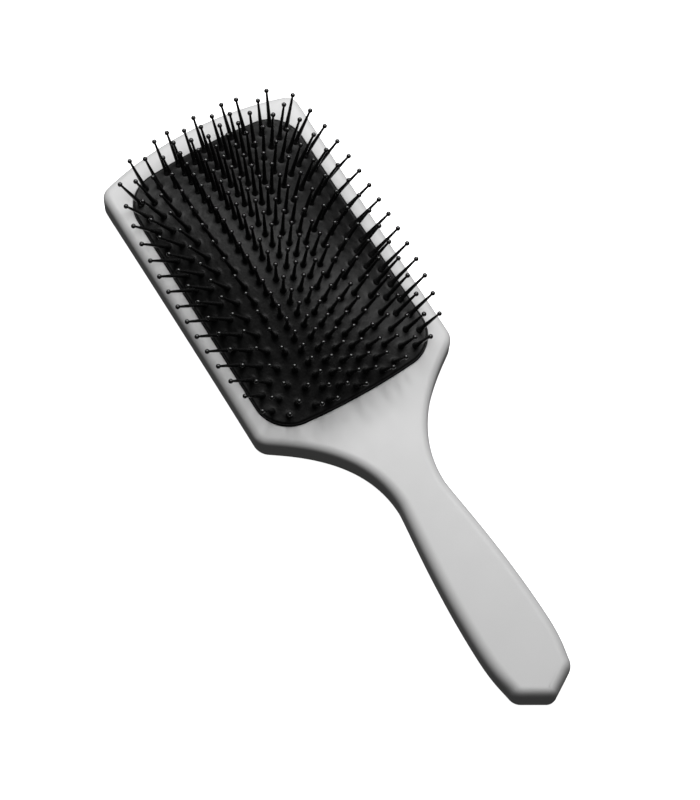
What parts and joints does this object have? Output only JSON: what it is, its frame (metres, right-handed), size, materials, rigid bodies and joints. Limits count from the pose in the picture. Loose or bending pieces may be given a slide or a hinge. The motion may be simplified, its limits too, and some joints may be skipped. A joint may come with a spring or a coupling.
{
  "type": "paddle hair brush",
  "caption": "Flat paddle hair brush: a pale hollow casing with a slim handle, an air-filled black rubber cushion and fanned ball-tipped pins.",
  "frame": {"origin": "middle of the brush's bounding box, on the back face that it lies on", "axes": "+Y along the brush, from the handle's end to the top of the head; +Z out of the back face towards the pins; +X across the head"},
  "size_m": [0.0876, 0.2586, 0.042],
  "materials": {
    "body": "satin-smooth pale silver-grey moulded plastic",
    "cover": "the same pale plastic, slightly duller",
    "inner": "plain mid-grey moulded plastic, out of sight",
    "cushion": "matte charcoal rubber with a faint mottle",
    "pins": "glossy black nylon with round ball tips"
  },
  "bodies": {
    "paddle": {"front_shell": "body", "back_cover": "cover", "chamber_plate": "inner", "retaining_ring": "inner"},
    "cushion": {"cushion": "cushion"},
    "pin_column_01": {"pin_column_01": "pins"},
    "pin_column_02": {"pin_column_02": "pins"},
    "pin_column_03": {"pin_column_03": "pins"},
    "pin_column_04": {"pin_column_04": "pins"},
    "pin_column_05": {"pin_column_05": "pins"},
    "pin_column_06": {"pin_column_06": "pins"},
    "pin_column_07": {"pin_column_07": "pins"},
    "pin_column_08": {"pin_column_08": "pins"},
    "pin_column_09": {"pin_column_09": "pins"},
    "pin_column_10": {"pin_column_10": "pins"},
    "pin_column_11": {"pin_column_11": "pins"},
    "pin_column_12": {"pin_column_12": "pins"},
    "pin_column_13": {"pin_column_13": "pins"}
  },
  "joints": [
    {"name": "cushion_press", "type": "slide", "parent": "paddle", "child": "cushion", "axis": [0, 0, -1], "range_m": [0, 0.0025], "stiffness_N_per_m": 4000, "deforming": ["cushion"]},
    {"name": "pin_column_01_rock", "type": "hinge", "parent": "cushion", "child": "pin_column_01", "pos_m": [-0.03167, 0.06085, 0.01563], "axis": [0, 1, 0], "range_deg": [-10, 10], "stiffness_Nm_per_rad": 0.05},
    {"name": "pin_column_02_rock", "type": "hinge", "parent": "cushion", "child": "pin_column_02", "pos_m": [-0.02719, 0.06085, 0.01676], "axis": [0, 1, 0], "range_deg": [-10, 10], "stiffness_Nm_per_rad": 0.05},
    {"name": "pin_column_03_rock", "type": "hinge", "parent": "cushion", "child": "pin_column_03", "pos_m": [-0.02227, 0.06085, 0.01822], "axis": [0, 1, 0], "range_deg": [-10, 10], "stiffness_Nm_per_rad": 0.05},
    {"name": "pin_column_04_rock", "type": "hinge", "parent": "cushion", "child": "pin_column_04", "pos_m": [-0.01701, 0.06085, 0.01889], "axis": [0, 1, 0], "range_deg": [-10, 10], "stiffness_Nm_per_rad": 0.05},
    {"name": "pin_column_05_rock", "type": "hinge", "parent": "cushion", "child": "pin_column_05", "pos_m": [-0.01148, 0.06085, 0.01959], "axis": [0, 1, 0], "range_deg": [-10, 10], "stiffness_Nm_per_rad": 0.05},
    {"name": "pin_column_06_rock", "type": "hinge", "parent": "cushion", "child": "pin_column_06", "pos_m": [-0.00579, 0.06085, 0.02052], "axis": [0, 1, 0], "range_deg": [-10, 10], "stiffness_Nm_per_rad": 0.05},
    {"name": "pin_column_07_rock", "type": "hinge", "parent": "cushion", "child": "pin_column_07", "pos_m": [0, 0.06085, 0.02019], "axis": [0, 1, 0], "range_deg": [-10, 10], "stiffness_Nm_per_rad": 0.05},
    {"name": "pin_column_08_rock", "type": "hinge", "parent": "cushion", "child": "pin_column_08", "pos_m": [0.00579, 0.06085, 0.02052], "axis": [0, 1, 0], "range_deg": [-10, 10], "stiffness_Nm_per_rad": 0.05},
    {"name": "pin_column_09_rock", "type": "hinge", "parent": "cushion", "child": "pin_column_09", "pos_m": [0.01148, 0.06085, 0.01959], "axis": [0, 1, 0], "range_deg": [-10, 10], "stiffness_Nm_per_rad": 0.05},
    {"name": "pin_column_10_rock", "type": "hinge", "parent": "cushion", "child": "pin_column_10", "pos_m": [0.01701, 0.06085, 0.01889], "axis": [0, 1, 0], "range_deg": [-10, 10], "stiffness_Nm_per_rad": 0.05},
    {"name": "pin_column_11_rock", "type": "hinge", "parent": "cushion", "child": "pin_column_11", "pos_m": [0.02227, 0.06085, 0.01822], "axis": [0, 1, 0], "range_deg": [-10, 10], "stiffness_Nm_per_rad": 0.05},
    {"name": "pin_column_12_rock", "type": "hinge", "parent": "cushion", "child": "pin_column_12", "pos_m": [0.02719, 0.06085, 0.01676], "axis": [0, 1, 0], "range_deg": [-10, 10], "stiffness_Nm_per_rad": 0.05},
    {"name": "pin_column_13_rock", "type": "hinge", "parent": "cushion", "child": "pin_column_13", "pos_m": [0.03167, 0.06085, 0.01563], "axis": [0, 1, 0], "range_deg": [-10, 10], "stiffness_Nm_per_rad": 0.05}
  ]
}
